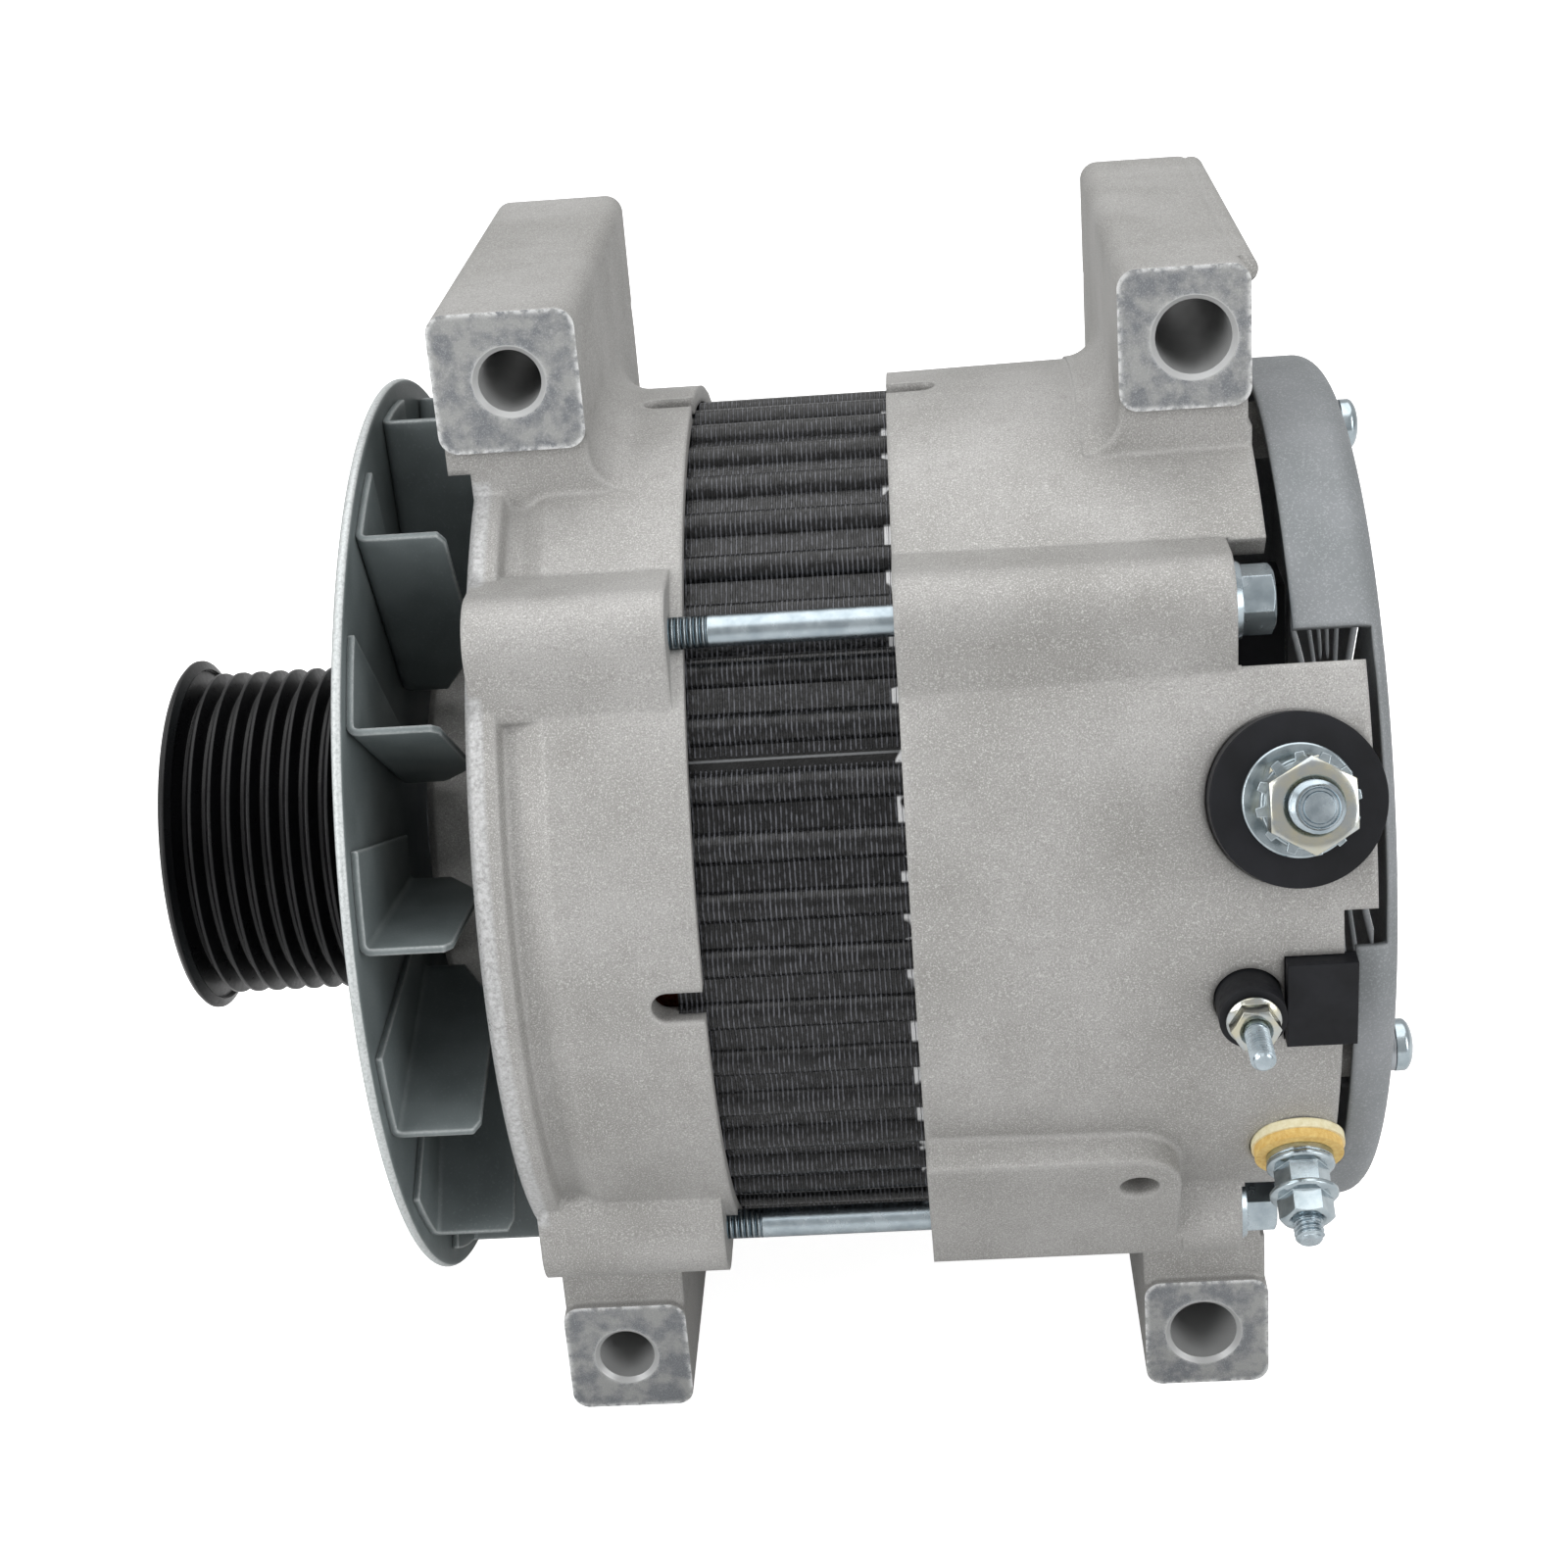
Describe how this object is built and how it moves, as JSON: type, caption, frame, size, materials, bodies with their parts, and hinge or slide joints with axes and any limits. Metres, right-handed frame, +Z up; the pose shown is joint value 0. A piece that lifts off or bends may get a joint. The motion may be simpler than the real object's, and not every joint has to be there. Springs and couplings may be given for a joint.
{
  "type": "alternator",
  "caption": "Heavy duty brush-type alternator with claw poles, external bladed fan, multi-groove belt pulley and four through-bored lugs.",
  "frame": {"origin": "on the shaft axis at the middle of the belt track", "axes": "+X along the shaft from the pulley to the rear cover, +Z up, -Y the side with the terminals"},
  "size_m": [0.2167, 0.185, 0.2129],
  "materials": {
    "cast_frame": "satin",
    "stator_black": "satin",
    "enamelled_copper": "gloss",
    "zinc_steel": "satin",
    "yellow_zinc": "satin",
    "bearing_steel": "polished",
    "plain_steel": "satin",
    "plate_aluminium": "satin",
    "black_insulator": "matte",
    "cream_fibre": "matte",
    "cover_paint": "satin",
    "pulley_black": "gloss",
    "fan_paint": "satin",
    "pole_iron": "satin",
    "slip_ring_copper": "polished",
    "cage_plastic": "matte",
    "brush_carbon": "matte"
  },
  "bodies": {
    "housing": {"front_frame": "cast_frame", "rear_frame": "cast_frame", "stator_core": "stator_black", "stator_winding": "enamelled_copper", "through_bolts": "zinc_steel", "front_bearing_outer_ring": "bearing_steel", "bearing_retainer": "plain_steel", "retainer_screws": "zinc_steel", "rear_bearing_outer_ring": "bearing_steel", "positive_plate": "plate_aluminium", "negative_plate": "plate_aluminium", "rectifier_diodes": "plain_steel", "plate_bushings": "black_insulator", "plate_screws": "zinc_steel", "regulator": "black_insulator", "regulator_screws": "zinc_steel", "brush_holder": "black_insulator", "brush_holder_screws": "zinc_steel", "front_brush_spring": "plain_steel", "rear_brush_spring": "plain_steel", "battery_stud": "zinc_steel", "battery_insulator": "black_insulator", "battery_washers": "zinc_steel", "battery_nuts": "yellow_zinc", "signal_stud": "zinc_steel", "signal_insulator": "black_insulator", "signal_block": "black_insulator", "signal_nut": "zinc_steel", "ground_stud": "zinc_steel", "fibre_washers": "cream_fibre", "ground_washer": "zinc_steel", "ground_nuts": "zinc_steel", "rear_cover": "cover_paint", "cover_screws": "zinc_steel", "cover_spring_washers": "plain_steel"},
    "rotor": {"shaft": "plain_steel", "pulley_key": "plain_steel", "pulley": "pulley_black", "pulley_nut": "zinc_steel", "pulley_spring_washer": "plain_steel", "fan_plate": "fan_paint", "fan_blades": "fan_paint", "spacer_collar": "plain_steel", "front_bearing_inner_ring": "bearing_steel", "rear_bearing_inner_ring": "bearing_steel", "front_pole_piece": "pole_iron", "rear_pole_piece": "pole_iron", "field_bobbin": "black_insulator", "field_coil": "enamelled_copper", "slip_ring_sleeve": "black_insulator", "slip_rings": "slip_ring_copper"},
    "front_ball_set": {"front_bearing_cage": "cage_plastic", "front_bearing_balls": "bearing_steel"},
    "rear_ball_set": {"rear_bearing_cage": "cage_plastic", "rear_bearing_balls": "bearing_steel"},
    "front_brush_slider": {"front_brush": "brush_carbon"},
    "rear_brush_slider": {"rear_brush": "brush_carbon"}
  },
  "joints": [
    {"name": "rotor_spin", "type": "hinge", "parent": "housing", "child": "rotor", "pos_m": [0, 0, 0], "axis": [1, 0, 0], "continuous": true},
    {"name": "front_cage_spin", "type": "hinge", "parent": "housing", "child": "front_ball_set", "pos_m": [0.043, 0, 0], "axis": [1, 0, 0], "continuous": true},
    {"name": "rear_cage_spin", "type": "hinge", "parent": "housing", "child": "rear_ball_set", "pos_m": [0.1561, 0, 0], "axis": [1, 0, 0], "continuous": true},
    {"name": "front_brush_slide", "type": "slide", "parent": "housing", "child": "front_brush_slider", "axis": [0, 0, 1], "range_m": [0, 0.004], "stiffness_N_per_m": 300, "springref_m": -0.012, "deforming": ["front_brush_spring"]},
    {"name": "rear_brush_slide", "type": "slide", "parent": "housing", "child": "rear_brush_slider", "axis": [0, 0, 1], "range_m": [0, 0.004], "stiffness_N_per_m": 300, "springref_m": -0.012, "deforming": ["rear_brush_spring"]}
  ],
  "couplings": [
    {"joint": "front_cage_spin", "follows": "rotor_spin", "ratio": 0.3682},
    {"joint": "rear_cage_spin", "follows": "rotor_spin", "ratio": 0.3641}
  ]
}
